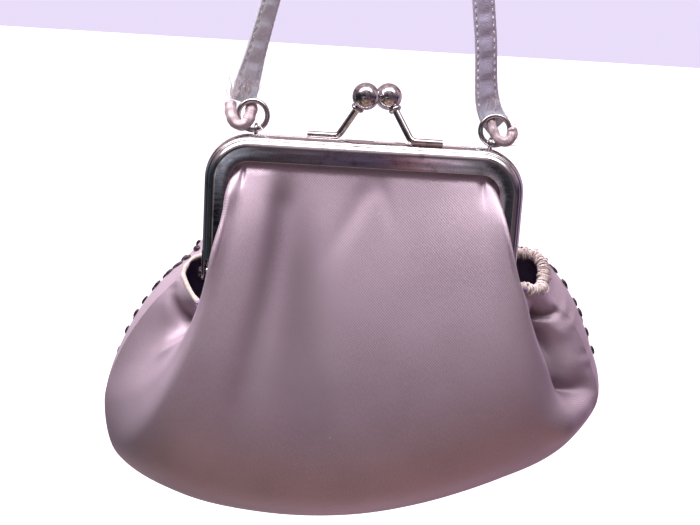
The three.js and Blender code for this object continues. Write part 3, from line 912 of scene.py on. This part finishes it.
# Satin strap: a flat band with a stitched line by each edge, rolled round the rings at its ends
strap = {
    "thickness": 1.8,
    "topX": 6.4,
    "topZ": 177,             # underside of the top
    "overRing": {left: -39.4, right: 38.2},
    "behindRing": 0.3,       # gap between ring and strap
    "archRadius": 6.5,
    "archLean": 12,
    "legSteps": 150,
    "legStart": 0.024,       # share of the leg that lies in the rolled end
    "archSteps": 24,
    "footArc": {left: 2.5, right: 17.5},   # degrees below the ring's level
    "footDepth": 2.05,       # behind the wire's middle
    "stitchLine": 0.74,      # share of the half width
    "stitchPitch": 2.2,
    "stitchLength": 1.5,
    "stitchRadius": 0.24,
    "groove": 0.3,
    "puff": 0.25,
    "pucker": 0.26,
    "puckerPitch": 7,
    "ripple": (0.5, 1.9),    # a second wave: its size and its turn each millimetre
    "edgeBlunt": 8,
    "edgeWaver": 0.012,      # share of the width that the stitches draw in
    "grooveWidth": 0.09,
    "acrossSteps": 25,
    "aboveRing": 1,          # where the leg leaves its ring
    "knots": (0.15, 0.6),    # shares of the leg above that
    "lowDepth": 0.6,
    "stitchEnds": 6,
    "stitchLift": 0.45,      # share of the stitch's radius
    "wornEnd": {left: 13, right: 7},    # paler near the rings
    "paintedLight": {left: 0.95, right: 0.1},  # and painted light along the front of each leg, most on the left
    "paintedLightBetween": (0.4, 0.6),
}
strapLegs = (("along", "width", "leftTurn", "rightTurn"), [
    (0, 8.4, 0, 0), (0.05, 8, 5, 0), (0.12, 7, 28, 0), (0.3, 7, 44, 4), (0.6, 7, 68, 50), (0.85, 7, 88, 86),
    (1, 7, 90, 90),
])


# Smooth line through a few points, in even steps
def smoothLine(knots, steps, start=0):
    p = np.array(knots, float)
    p = np.vstack([2 * p[0] - p[1], p, 2 * p[-1] - p[-2]])
    t = np.linspace(0, 1, 80, endpoint=False)[:, None]
    rise = smoothStep(t, 0, 1)
    fine = []
    for p0, p1, p2, p3 in zip(p, p[1:], p[2:], p[3:]):
        d0, d1, d2 = (math.sqrt(np.linalg.norm(b - a)) for a, b in ((p0, p1), (p1, p2), (p2, p3)))
        m1 = ((p1 - p0) / d0 - (p2 - p0) / (d0 + d1) + (p2 - p1) / d1) * d1
        m2 = ((p2 - p1) / d1 - (p3 - p1) / (d1 + d2) + (p3 - p2) / d2) * d1
        fine.append(p1 * (1 - rise) + p2 * rise + m1 * (t ** 3 - 2 * t * t + t) + m2 * (t ** 3 - t * t))
    fine = np.vstack([*fine, p[-2]])
    run = runAlong(fine)
    return pointsAt(np.linspace(start * run[-1], run[-1], steps), run, fine)


def wirePoint(end, degrees):
    turn = math.radians(degrees)
    return ringPlace(end) + hardware["ringRadius"] * np.array((end * math.cos(turn), 0, -math.sin(turn)))


def archPoint(degrees):
    turn = math.radians(degrees)
    middle = (strap["topX"], 0, strap["topZ"] + strap["thickness"] / 2 - strap["archRadius"])
    return np.array(middle) + strap["archRadius"] * np.array((math.cos(turn), 0, math.sin(turn)))


def strapLeg(end):
    foot = wirePoint(end, strap["footArc"][end]) + (0, strap["footDepth"], 0)
    depth = hardware["ringDepth"] + hardware["ringWire"] + strap["behindRing"] + strap["thickness"] / 2
    ringTop = ringPlace(end)[2] + hardware["ringRadius"]
    overRing = np.array((strap["overRing"][end], depth, ringTop + strap["aboveRing"]))
    top = archPoint(90 - end * (90 - strap["archLean"]))
    low, high = (overRing + share * (top - overRing) for share in strap["knots"])
    low[1] *= strap["lowDepth"]
    high[1] = 0
    return smoothLine([foot, overRing, low, high, top], strap["legSteps"], strap["legStart"])


# Middle line of the strap from the left ring to the right one, with its width and its turn at each step
def strapStations():
    along = np.linspace(strap["legStart"], 1, strap["legSteps"])
    lean = strap["archLean"]
    arch = np.array([archPoint(a) for a in np.linspace(180 - lean, lean, strap["archSteps"])[1:-1]])
    points = np.vstack([strapLeg(left), arch, strapLeg(right)[::-1]])
    width = columnAt(strapLegs, "width", along)
    leftTurn, rightTurn = columnAt(strapLegs, "leftTurn", along), columnAt(strapLegs, "rightTurn", along)
    widths = np.concatenate([width, np.full(len(arch), width[-1]), width[::-1]])
    turns = np.radians(np.concatenate([leftTurn, np.full(len(arch), 90.0), rightTurn[::-1]]))
    direction = unit(np.gradient(points, axis=0))
    across = np.stack([np.cos(turns), np.sin(turns), np.zeros_like(turns)], 1)
    across = unit(across - direction * np.sum(across * direction, axis=1, keepdims=True))
    return points, widths, direction, across, np.cross(direction, across)


# Height of a face of the strap above its middle, at a share of its half width
def strapHeight(share, run, face):
    size = np.abs(share)
    edge = np.sqrt(1 - np.minimum(size, 1) ** strap["edgeBlunt"])
    groove = strap["groove"] * bell(size, strap["stitchLine"], strap["grooveWidth"])
    inside = np.clip(1 - (size / strap["stitchLine"]) ** 2, 0, 1)
    ripple, turn = strap["ripple"]
    wave = np.sin(2 * math.pi * run / strap["puckerPitch"] + face)
    wave = wave + ripple * np.sin(run * turn + 2 * share + face)
    return strap["thickness"] / 2 * edge - groove + inside * (strap["puff"] + strap["pucker"] * wave)


def addStrap():
    points, widths, direction, across, facing = strapStations()
    run = runAlong(points)
    shares = np.sin(np.linspace(-math.pi / 2, math.pi / 2, strap["acrossSteps"]))
    fromRing = {left: run, right: run[-1] - run}
    worn = np.maximum(*(bell(fromRing[end], 0, strap["wornEnd"][end]) for end in (left, right)))
    # painted light on the front of the left leg, with the paler wear near the rings on both faces
    paintedLight = np.interp(run / run[-1], strap["paintedLightBetween"], (strap["paintedLight"][left], strap["paintedLight"][right]))
    shades = {back: worn, front: np.maximum(worn, paintedLight)}
    reach = widths / 2 * (1 + strap["edgeWaver"] * np.sin(2 * math.pi * run / strap["stitchPitch"]))
    rows, pale = [], []
    for face, order in ((back, shares[::-1]), (front, shares[1:])):
        for share in order:
            height = face * strapHeight(share, run, face)
            rows.append(points + across * (share * reach)[:, None] + facing * height[:, None])
            pale.append(shades[face])
    rows.append(rows[0])
    pale.append(pale[0])
    piece = clothGrid("satin_strap", np.stack(rows, 1), np.stack(pale, 1))
    closeMesh(piece, 0.001, fillHoles=True)
    smoothByAngle(piece, 50)
    finishPiece(piece, "satin_strap", "satin", strapSatin)
    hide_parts("strap")
    print("strap length", round(run[-1], 1), "mm")
    return points, widths, direction, across, facing, run


# Copies of a small shape in one mesh; each place has three axes, which also carry the copy's size
def joinCopies(name, template, places, axes):
    mesh = template.data
    shape = np.empty(len(mesh.vertices) * 3)
    mesh.vertices.foreach_get("co", shape)
    points = np.einsum("vk,pkc->pvc", shape.reshape(-1, 3), np.asarray(axes)) + np.asarray(places)[:, None]
    faces = [tuple(face.vertices) for face in mesh.polygons]
    step = len(mesh.vertices)
    copies = [tuple(v + k * step for v in face) for k in range(len(places)) for face in faces]
    joined = bpy.data.meshes.new(name)
    joined.from_pydata(toWorld(points.reshape(-1, 3)).tolist(), [], copies)
    joined.update()
    piece = bpy.data.objects.new(name, joined)
    bpy.context.collection.objects.link(piece)
    bpy.data.objects.remove(template)
    selectOnly(piece)
    bpy.ops.object.shade_smooth()
    return piece


def smallBall(segments=8, rings=5):
    startFresh()
    bpy.ops.mesh.primitive_uv_sphere_add(segments=segments, ring_count=rings, radius=1)
    return bpy.context.object


def addStrapStitches(points, widths, direction, across, facing, run):
    places, axes = [], []
    radius, ends = strap["stitchRadius"], strap["stitchEnds"]
    for at in np.arange(ends, run[-1] - ends, strap["stitchPitch"]):
        k = np.searchsorted(run, at)
        stitch = (direction[k] * strap["stitchLength"] / 2, across[k] * radius, facing[k] * radius)
        for face in (back, front):
            for share in (-strap["stitchLine"], strap["stitchLine"]):
                height = strapHeight(share, at, face) + strap["stitchLift"] * radius
                places.append(points[k] + across[k] * share * widths[k] / 2 + facing[k] * face * height)
                axes.append(stitch)
    piece = joinCopies("strap_stitches", smallBall(), places, axes)
    finishPiece(piece, "strap_stitches", "satin", strapThread)


# The strap's ends, rolled to cords and looped round the rings' wires
loops = {
    "radius": {left: 1.85, right: 1.6},
    "knots": {
        left: [(-43.4, 4.8, 9.6), (-43.1, 3.2, 6.8), (-42.5, 1.7, 4.7), (-41.2, 0.5, 3.0),
               (-39.6, 0.1, 2.5), (-38.0, 0.7, 3.3), (-37.1, 2.2, 5.3), (-36.7, 3.9, 7.6),
               (-37.2, 5.0, 9.8)],
        right: [(38.4, 5.0, 9.8), (38.8, 3.6, 7.6), (39.5, 2.2, 5.2), (40.9, 1.0, 3.0), (42.7, 0.4, 2.2),
                (44.6, 1.2, 3.0), (45.5, 2.2, 4.9), (45.0, 2.6, 6.9)],
    },
    "steps": 64,
    "sides": 28,
    # loose threads: where they grow from, which way, how many and how long
    "frayed": [
        ((45.2, 2.4, 6.4), (0.8, -0.4, -0.3), 5, 2.6), ((44.6, 1.0, 2.6), (0.8, -0.4, -0.3), 5, 2.6),
        ((-42.8, 3.3, 11.2), (0.4, -0.3, 2), 12, 4), ((-40.6, 3.2, 11.8), (0.4, -0.3, 2.4), 14, 4.6),
        ((-38.2, 3.2, 12.4), (0.6, -0.3, 2), 10, 4), ((39.0, 3.2, 12.6), (-0.2, -0.3, 2), 8, 3),
    ],
    "fraySpread": (0.9, 0.1, 0.9),
    "frayWaver": (0.7, 0.2, 0.7),
    "frayLength": (0.6, 1.3),    # shortest and longest share of the length
    "frayCurl": 0.08,
    "frayShape": {"steps": 8, "bend": 3.4, "radius": 0.1},
    "fraySeed": 11,
    "roundEnd": 0.06,            # share of the roll
    "pleats": (0.05, 7, 9),      # depth, waves round the roll and along it
    "ridges": (0.06, 38, 2),     # depth, waves along the roll and their sway
    # the cloth's free edge, by the angle round the roll, and the pinch where the wire holds it
    "freeEdge": {"depth": 0.2, "at": 3.6, "drift": 0.8, "spread": 0.3},
    "pinch": {"depth": 0.12, "at": 0.45, "spread": 0.12},
}


# Axes across a line of points that don't twist along it
def crossAxes(points, hint):
    direction = unit(np.gradient(points, axis=0))
    level = unit(np.cross(direction, hint))
    return direction, level, np.cross(direction, level)


def addLoop(end):
    line = smoothLine(loops["knots"][end], loops["steps"])
    level, upright = crossAxes(line, (0, 1, 0))[1:]
    around = np.linspace(0, 2 * math.pi, loops["sides"] + 1)[None, :]
    share = np.linspace(0, 1, loops["steps"])[:, None]
    closing = np.minimum(np.minimum(share, 1 - share) / loops["roundEnd"], 1)
    full = np.sqrt(1 - (1 - closing) ** 2)
    depth, wavesRound, wavesAlong = loops["pleats"]
    pleats = depth * np.sin(wavesRound * around + wavesAlong * share + end)
    depth, wavesAlong, sway = loops["ridges"]
    ridges = depth * np.sin(wavesAlong * share + sway * np.sin(around))
    edge, pinch = loops["freeEdge"], loops["pinch"]
    overlap = edge["depth"] * bell(around, edge["at"] + edge["drift"] * share, edge["spread"])
    held = 1 - pinch["depth"] * bell(share, pinch["at"], pinch["spread"])
    radius = loops["radius"][end] * full * held * (1 + pleats + ridges - overlap)
    points = line[:, None] + radius[..., None] * (
        level[:, None] * np.cos(around)[..., None] + upright[:, None] * np.sin(around)[..., None])
    name = "strap_loop_" + endNames[end]
    piece = clothGrid(name, points)
    closeMesh(piece, 0.001)
    smoothByAngle(piece, 60)
    finishPiece(piece, name, "satin", rollSatin)


# A loose thread that bends to one side on its way
def addLooseThread(start, way, curl, shape):
    t = np.linspace(0, 1, shape["steps"])[:, None]
    return addTube(start + way * t + curl * np.sin(shape["bend"] * t), shape["radius"], 1)


def finishThreads(pieces, name, material):
    piece = joinPieces(pieces)
    bpy.ops.object.shade_smooth()
    finishPiece(piece, name, "satin", material)


# Threads that have worked loose at the strap's cut ends
def addFrays():
    chance = np.random.default_rng(loops["fraySeed"])
    pieces = []
    for root, lean, count, length in loops["frayed"]:
        for k in range(count):
            start = np.array(root) + chance.normal(size=3) * loops["fraySpread"]
            way = chance.normal(size=3) * loops["frayWaver"] + lean
            way *= length * chance.uniform(*loops["frayLength"]) / np.linalg.norm(way)
            curl = np.cross(way, (0, 1, 0)) * chance.normal() * loops["frayCurl"]
            pieces.append(addLooseThread(start, way, curl, loops["frayShape"]))
    finishThreads(pieces, "frayed_threads", strapThread)


strapLine = addStrap()
addStrapStitches(*strapLine)
for end in (left, right):
    addLoop(end)
addFrays()
print("strap sewn")


# Hems of the two slits beside the hinges: rolled on the left, overcast by hand on the right
hems = {
    "radius": {left: 0.85, right: 1.5},
    "inset": {left: 0, right: 0.8},  # towards the middle of the slit
    "ends": 0.8,
    "step": 0.4,
    "lump": 0.3,
    "lumpSteps": 7,
    "windings": ((1, 0.85), (-1, 1.445)),  # which way the thread runs, and its pitch
    "stitchReach": 1.75,
    "stitchRadius": 0.2,
    "stitchEnds": 0.3,
    "stitchStep": 0.09,
    "swayPitch": 0.7,
    "reachSway": 0.24,
    "lean": 0.35,
    "fluff": 14,             # short threads that stand off
    "fluffAlong": 0.5,
    "fluffLength": (1.2, 2.4),
    "fluffCurl": 0.3,
    "fluffShape": {"steps": 6, "bend": 3, "radius": 0.09},
    "seed": 7,
}


def slitEdge(end):
    column = 0 if end == left else -1
    lines = []
    for points, side in ((frontPoints, front), (backPoints, back)):
        inwardShift = gridNormals(points, side)[column] * panel["thickness"] / 2
        lines.append((points[column] - inwardShift)[2:])
    joined = np.vstack([lines[0], lines[1][::-1]])
    joined += hems["inset"][end] * unit(joined.mean(0) - joined)
    run = runAlong(joined)
    return pointsAt(np.arange(hems["ends"], run[-1] - hems["ends"], hems["step"]), run, joined)


def addHem(end):
    points = slitEdge(end)
    chance = np.random.default_rng(hems["seed"] + end)
    even = np.ones(hems["lumpSteps"]) / hems["lumpSteps"]
    lumps = 1 + hems["lump"] * np.convolve(chance.normal(size=len(points)), even, "same")
    piece = addTube(points, hems["radius"][end], 4, lumps)
    bpy.ops.object.shade_smooth()
    finishPiece(piece, "hem_" + endNames[end], "satin", hemCloth)


# Thread wound over the right slit's edge, uneven as hand sewing is
def addOvercast():
    points = slitEdge(right)
    chance = np.random.default_rng(hems["seed"])
    run = runAlong(points)
    direction, level, upright = crossAxes(points, (0.3, 1, 0.2))
    at = np.arange(hems["stitchEnds"], run[-1] - hems["stitchEnds"], hems["stitchStep"])
    swayAt = np.arange(0, run[-1] + 2, hems["swayPitch"])
    pieces = []
    for way, pitch in hems["windings"]:
        turns = way * 2 * math.pi * at / pitch
        sway = np.interp(at, swayAt, chance.normal(size=len(swayAt)))
        reach = hems["stitchReach"] * (1 + hems["reachSway"] * sway)
        k = np.searchsorted(run, at + hems["lean"] * np.sin(turns + sway))
        k = np.clip(k, 0, len(run) - 1)
        line = points[k] + level[k] * (np.cos(turns) * reach)[:, None]
        line += upright[k] * (np.sin(turns) * reach)[:, None]
        pieces.append(addTube(line, hems["stitchRadius"], 1))
    for count in range(hems["fluff"]):
        k = chance.integers(4, len(points) - 4)
        way = level[k] * chance.normal() + upright[k] * chance.normal()
        way += direction[k] * chance.normal() * hems["fluffAlong"]
        way *= chance.uniform(*hems["fluffLength"]) / np.linalg.norm(way)
        curl = np.cross(way, direction[k]) * hems["fluffCurl"]
        pieces.append(addLooseThread(points[k], way, curl, hems["fluffShape"]))
    finishThreads(pieces, "overcast_stitches", thread)


for end in (left, right):
    addHem(end)
addOvercast()
print("hems sewn")


# Dark beads sewn over the far face in staggered rows
beads = {
    "firstRow": 9,           # from the frame
    "lastRow": 2,            # from the seam
    "rowPitch": 6.8,
    "pitch": 7.2,
    "halfSize": (1.75, 1.1, 0.55),
    "stand": 0.35,
    "seamMargin": 8,
    "slitMargin": 7,
    "slip": 0.25,
    "tilt": 0.12,
    "seed": 3,
}


def addBeads():
    normals = gridNormals(backPoints, back)
    middle = panel["columns"] // 2
    fibreRun = runAlong(backPoints[middle])
    seam = backPoints[:, -1]
    chance = np.random.default_rng(beads["seed"])
    margin, pitch = beads["slitMargin"], beads["pitch"]
    long, wide, thick = beads["halfSize"]
    places, axes = [], []
    rowsAt = np.arange(beads["firstRow"], fibreRun[-1] - beads["lastRow"], beads["rowPitch"])
    for row, at in enumerate(rowsAt):
        j = np.searchsorted(fibreRun, at)
        run = runAlong(backPoints[:, j])
        for away in np.arange(margin + (row % 2) * pitch / 2, run[-1] - margin, pitch):
            i = np.searchsorted(run, away + chance.normal() * beads["slip"])
            if np.linalg.norm(seam - backPoints[i, j], axis=1).min() < beads["seamMargin"]:
                continue
            along = unit(backPoints[i + 1, j] - backPoints[i, j])
            normal = normals[i, j]
            over = np.cross(normal, along)
            tilt = chance.normal() * beads["tilt"]
            turned = along * math.cos(tilt) + over * math.sin(tilt)
            places.append(backPoints[i, j] + normal * beads["stand"])
            axes.append((turned * long, np.cross(normal, turned) * wide, normal * thick))
    piece = joinCopies("far_face_beads", smallBall(10, 6), places, axes)
    finishPiece(piece, "far_face_beads", "dark_bead", darkBead)
    print(len(places), "beads sewn on")


addBeads()


# Floor, room and studio light
studio = {
    "floorDrop": 0.45,
    "floorSize": 100,
    "floorTone": (0.95, 0.93, 0.96),
    "floorMottle": (0.6, 0.97),  # its scale, and the share of the tone in its darker parts
    "floorGlow": 0.75,
    "wall": (0.82, 0.73, 0.96),
    "softbox": {
        "place": (-0.16, 0.0, 0.61),  # metres from the frame's top
        "aim": (0, 0, -70),
        "size": (0.7, 0.3),
        "watts": 14.5,
        "tone": (1, 0.97, 1),
    },
    "stripGlow": 11,         # a lit strip above that only shows as a reflection
    "room": 1.0,
    # brightness of the room from below and in front to above and behind
    "shade": [
        (0.08, (0.72, 0.48, 0.38)), (0.28, (0.22, 0.15, 0.14)), (0.46, (0.08, 0.075, 0.09)),
        (0.58, (0.22, 0.18, 0.20)), (0.7, (0.55, 0.44, 0.50)), (0.86, (1.0, 0.95, 1.05)),
    ],
    "shadeDepth": 0.3,       # how much of that follows the depth
    "clutter": 2.4,          # scale of the lighter and darker things round the purse
    "things": [(0.38, (0.35, 0.36, 0.36)), (0.5, 0.95), (0.62, (1.5, 1.45, 1.45))],
    "streakScale": (16, 1, 90),  # the same for those before it
    "streaks": [(0.36, 0.4), (0.5, 0.95), (0.64, 2)],
    "behind": (0.60, 0.44, 0.48, 1),
    "behindLow": (0.7, 0.66, 0.7, 1),
    "beside": (1.3, 1.25, 1.45, 1),  # lit things before it on the left, which a corner of the frame mirrors
    # tints from left to right, at the purse's level
    "tints": [
        (0.1, (0.28, 0.42, 0.46)), (0.32, (0.9, 1.02, 1.03)), (0.68, (1.05, 1.02, 1.12)),
        (0.9, (0.95, 0.92, 1.2)),
    ],
    # what stands before the purse, from left to right, as the flat face of the frame mirrors it
    "before": [
        (0.28, (0.02, 0.03, 0.04)), (0.4, (0.19, 0.13, 0.15)), (0.58, (0.14, 0.105, 0.18)),
        (0.63, (0.5, 0.24, 0.26)), (0.68, (0.86, 0.62, 0.74)), (0.735, (0.6, 0.55, 0.6)),
        (0.775, (0.05, 0.05, 0.06)),
    ],
    # where these show, by the direction's x, y or z: 0 is nowhere
    "masks": {
        "besideX": [(0.3, 1), (0.37, 0)],
        "besideZ": [(0.35, 0), (0.385, 1)],
        "beforeY": [(0.9, 0), (0.96, 1)],
        "beforeZ": [(0.12, 0), (0.22, 1), (0.42, 1), (0.52, 0)],
        "behindY": [(0.1, 0), (0.4, 1)],
        "behindLowY": [(0.8, 0), (0.93, 1)],
        "behindLowZ": [(0.5, 1), (0.62, 0)],
        "tintsZ": [(0.56, 1), (0.74, 0)],
        "stripX": [(0.03, 0), (0.22, 1), (0.65, 1), (0.87, 0)],
        "stripY": [(0.14, 0), (0.26, 1), (0.4, 1), (0.54, 0)],
        "stripZ": [(0.44, 0), (0.66, 1)],
    },
}


def addFloor():
    startFresh()
    level = cadBox[0].z - studio["floorDrop"]
    bpy.ops.mesh.primitive_plane_add(size=studio["floorSize"], location=(0, 0, level))
    floor = bpy.context.object
    floor.name = "pale_floor"
    material, tree, shader = newMaterial("pale_floor")
    tone = studio["floorTone"]
    scale, darker = studio["floorMottle"]
    mottle = noise(tree, objectPlace(tree), scale)
    colour = ramp(tree, mottle, [(0.3, [darker * c for c in tone]), (0.7, tone)])
    setInputs(tree, shader, {
        "Base Color": colour,
        "Emission Color": colour,
        "Emission Strength": studio["floorGlow"],
        "Roughness": 0.9,
    })
    floor.data.materials.append(material)
    floor.visible_glossy = False     # the plating and satin mirror the room, not the floor
    floor.visible_diffuse = False


def addRoom():
    room = bpy.data.worlds.new("soft_room")
    room.use_nodes = True
    bpy.context.scene.world = room
    tree = room.node_tree
    toward = addNode(tree, "TexCoord").outputs["Generated"]
    x, y, z = addNode(tree, "SeparateXYZ", {"Vector": toward}).outputs
    masks = studio["masks"]

    # a ramp over part of the direction, moved to the range that ramps take
    def spread(value, scale, stops, start=0.5):
        return ramp(tree, combine(tree, "MULTIPLY_ADD", value, scale, start), stops)

    def times(a, b):
        return combine(tree, "MULTIPLY", a, b)

    shade = spread(combine(tree, "MULTIPLY_ADD", y, studio["shadeDepth"], z), 0.4, studio["shade"])
    before = spread(x, 2.0, studio["before"])
    beside = times(spread(x, 2.0, masks["besideX"]), spread(z, 1.0, masks["besideZ"]))
    before = mixed(tree, beside, before, studio["beside"])
    streaks = noise(tree, mapped(tree, toward, studio["streakScale"]))
    before = mixed(tree, 1.0, before, ramp(tree, streaks, studio["streaks"]), "MULTIPLY")
    ahead = times(spread(y, -1.0, masks["beforeY"], 0.0), spread(z, 1.0, masks["beforeZ"]))
    shade = mixed(tree, ahead, shade, before)
    shade = mixed(tree, ramp(tree, y, masks["behindY"]), shade, studio["behind"])
    low = times(ramp(tree, y, masks["behindLowY"]), spread(z, 1.0, masks["behindLowZ"]))
    shade = mixed(tree, low, shade, studio["behindLow"])
    tinted = mixed(tree, 1.0, shade, spread(x, 0.5, studio["tints"]), "MULTIPLY")
    shade = mixed(tree, spread(z, 0.5, masks["tintsZ"]), shade, tinted)
    things = noise(tree, toward, studio["clutter"], 3)
    shade = mixed(tree, 1.0, shade, ramp(tree, things, studio["things"]), "MULTIPLY")
    # the strip shows in what is glossy, and the camera sees a plain wall
    path = addNode(tree, "LightPath").outputs
    strip = times(spread(y, -1.0, masks["stripY"], 0.0), spread(x, 0.5, masks["stripX"]))
    strip = times(strip, times(ramp(tree, z, masks["stripZ"]), path["Is Glossy Ray"]))
    shade = mixed(tree, 1.0, shade, times(strip, studio["stripGlow"]), "ADD")
    colour = mixed(tree, path["Is Camera Ray"], shade, (*studio["wall"], 1))
    setInputs(tree, tree.nodes["Background"], {"Color": colour, "Strength": studio["room"]})


def addSoftbox():
    startFresh()
    softbox = studio["softbox"]
    bpy.ops.object.light_add(type="AREA", location=world(0, 0, 0) + Vector(softbox["place"]))
    lamp = bpy.context.object
    lamp.name = "overhead_softbox"
    lamp.data.shape = "RECTANGLE"
    lamp.data.size, lamp.data.size_y = softbox["size"]
    lamp.data.energy = softbox["watts"]
    lamp.data.color = softbox["tone"]
    lamp.rotation_euler = (lamp.location - world(*softbox["aim"])).to_track_quat("Z", "Y").to_euler()
    lamp.visible_glossy = False


addFloor()
addRoom()
addSoftbox()
bpy.context.scene.view_settings.view_transform = "Standard"
print("studio lit")
